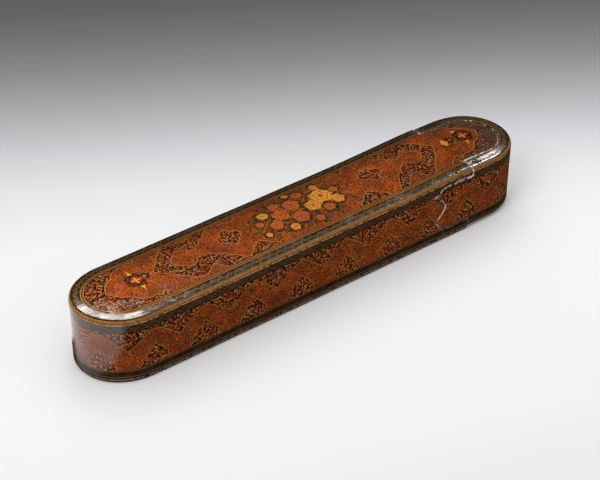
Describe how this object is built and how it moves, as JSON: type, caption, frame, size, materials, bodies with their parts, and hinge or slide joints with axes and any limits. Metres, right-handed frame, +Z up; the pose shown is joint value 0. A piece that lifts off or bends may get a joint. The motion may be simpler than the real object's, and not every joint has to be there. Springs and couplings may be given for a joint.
{
  "type": "pen box",
  "caption": "Long lacquered papier-mache pen box with rounded ends: a sleeve case, a drawer that slides out of one end, and a brass inkwell in the drawer.",
  "frame": {"origin": "middle of the closed box's length and width, at the case's underside", "axes": "+X along the box towards the drawer's head, +Z up"},
  "size_m": [0.225, 0.0412, 0.0321],
  "materials": {
    "lacquer": "gloss",
    "inner_lacquer": "satin",
    "brass": "satin",
    "silk": "matte"
  },
  "bodies": {
    "case": {"case_shell": "lacquer"},
    "drawer": {"drawer_head": "lacquer", "drawer_tray": "inner_lacquer", "tray_divider": "inner_lacquer", "inkwell_cup": "brass", "inkwell_top_plate": "brass", "inkwell_hinge_pin": "brass", "ink_wad": "silk"},
    "lid": {"inkwell_lid": "brass", "lid_knob": "brass"}
  },
  "joints": [
    {"name": "drawer_slide", "type": "slide", "parent": "case", "child": "drawer", "axis": [1, 0, 0], "range_m": [0, 0.22]},
    {"name": "inkwell_lid_hinge", "type": "hinge", "parent": "drawer", "child": "lid", "pos_m": [0.1022, 0, 0.01575], "axis": [0, 1, 0], "range_deg": [0, 95]}
  ]
}
